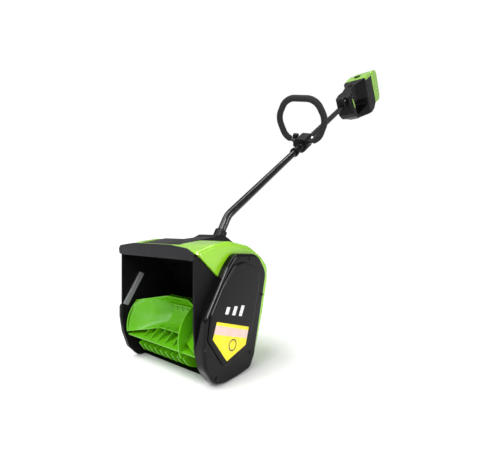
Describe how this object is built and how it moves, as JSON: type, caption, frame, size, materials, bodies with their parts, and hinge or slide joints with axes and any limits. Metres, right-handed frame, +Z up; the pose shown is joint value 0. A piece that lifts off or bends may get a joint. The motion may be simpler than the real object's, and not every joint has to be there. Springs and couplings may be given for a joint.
{
  "type": "cordless snow shovel",
  "caption": "Powered snow shovel: ribbed scoop rotor in a two-plate chute, bent tube, loop handle, and a rear handle with slide-in battery.",
  "frame": {"origin": "on the ground, in the middle of the head, straight below the rotor's axis", "axes": "+Z up, +Y from the mouth of the head towards the user, +X towards the drive cover"},
  "size_m": [0.3258, 1.6442, 1.2993],
  "materials": {
    "black_plastic": "fine moulded grain",
    "black_gloss": "polished",
    "charcoal_plastic": "fine moulded grain",
    "grey_plastic": "fine moulded grain",
    "black_screw": "black oxide",
    "lime_gloss": "polished",
    "lime_moulded": "satin moulded",
    "yellow_label": "printed film",
    "white_mark": "printed",
    "steel": "zinc plated",
    "spring_steel": "bright wire",
    "motor_metal": "satin",
    "pulley_aluminium": "turned",
    "belt_rubber": "matte",
    "black_tube": "gloss powder coat",
    "foam": "closed-cell foam",
    "switch_plastic": "plain",
    "board_green": "solder mask",
    "cell_wrap": "shrink wrap"
  },
  "bodies": {
    "head": {"left_side_plate": "black_plastic", "right_side_plate": "black_plastic", "chute_shell": "black_plastic", "front_lip": "charcoal_plastic", "guide_strip": "grey_plastic", "scraper_bar": "black_plastic", "top_cover": "lime_gloss", "handle_socket": "black_plastic", "vent_panel": "charcoal_plastic", "drive_cover": "black_gloss", "left_cover": "black_plastic", "side_sticker": "yellow_label", "side_marks": "white_mark", "lip_screws": "steel", "cover_screws": "black_screw", "left_cover_screws": "black_screw", "bearing_left": "steel", "bearing_right": "steel", "drive_belt": "belt_rubber", "motor_can": "motor_metal", "motor_bracket": "motor_metal", "motor_screws": "steel", "lower_tube": "black_tube", "upper_tube": "black_tube", "power_lead": "belt_rubber", "coupler_sleeve": "black_plastic", "housing_left": "black_plastic", "housing_right": "black_plastic", "rear_cover": "lime_gloss", "accent_inserts": "lime_gloss", "front_collar": "black_plastic", "collar_screw": "steel", "housing_screws": "steel", "trigger_pin": "steel", "trigger_spring": "spring_steel", "lock_spring": "spring_steel", "switch_body": "switch_plastic", "control_board": "board_green", "terminal_block": "switch_plastic"},
    "rotor": {"rotor": "lime_moulded", "rotor_shaft": "steel", "driven_pulley": "pulley_aluminium"},
    "motor_rotor": {"motor_pulley": "pulley_aluminium", "motor_shaft": "steel"},
    "loop_slider": {"clamp_liner": "belt_rubber"},
    "loop_handle": {"loop_tube": "black_tube", "foam_grip": "foam", "clamp_upper": "black_plastic", "clamp_lower": "black_plastic", "clamp_bolt": "steel"},
    "clamp_knob": {"clamp_knob": "black_plastic"},
    "trigger": {"trigger": "black_plastic"},
    "lock_button": {"lock_button": "black_plastic"},
    "battery": {"battery_pack": "lime_gloss", "battery_cells": "cell_wrap"},
    "battery_latch": {"battery_latch": "black_plastic"}
  },
  "joints": [
    {"name": "rotor_spin", "type": "hinge", "parent": "head", "child": "rotor", "pos_m": [0, 0, 0.091], "axis": [1, 0, 0], "continuous": true},
    {"name": "motor_spin", "type": "hinge", "parent": "head", "child": "motor_rotor", "pos_m": [0.154, 0.097, 0.238], "axis": [1, 0, 0], "continuous": true},
    {"name": "loop_slide", "type": "slide", "parent": "head", "child": "loop_slider", "axis": [0, 0.8377, 0.5461], "range_m": [0, 0.09]},
    {"name": "loop_turn", "type": "hinge", "parent": "loop_slider", "child": "loop_handle", "pos_m": [0, 0.65348, 0.70207], "axis": [0, 0.8377, 0.5461], "range_deg": [-45, 45]},
    {"name": "knob_turn", "type": "hinge", "parent": "loop_handle", "child": "clamp_knob", "pos_m": [0.00569, 0.65862, 0.73079], "axis": [0.9659, 0.1413, -0.2168], "range_deg": [0, 360]},
    {"name": "trigger_pull", "type": "hinge", "parent": "head", "child": "trigger", "pos_m": [0, 1.18466, 1.02805], "axis": [1, 0, 0], "range_deg": [0, 8], "stiffness_Nm_per_rad": 2, "springref_deg": -2.86, "deforming": ["trigger_spring"]},
    {"name": "lock_press", "type": "slide", "parent": "head", "child": "lock_button", "axis": [0, 0.5461, -0.8377], "range_m": [0, 0.003], "stiffness_N_per_m": 300, "springref_m": -0.002, "deforming": ["lock_spring"]},
    {"name": "battery_slide", "type": "slide", "parent": "head", "child": "battery", "axis": [0, 0.8377, 0.5461], "range_m": [0, 0.12]},
    {"name": "latch_press", "type": "slide", "parent": "head", "child": "battery_latch", "axis": [0, 0.5461, -0.8377], "range_m": [0, 0.003], "stiffness_N_per_m": 400, "springref_m": -0.002}
  ],
  "couplings": [
    {"joint": "motor_spin", "follows": "rotor_spin", "ratio": 3.5}
  ]
}
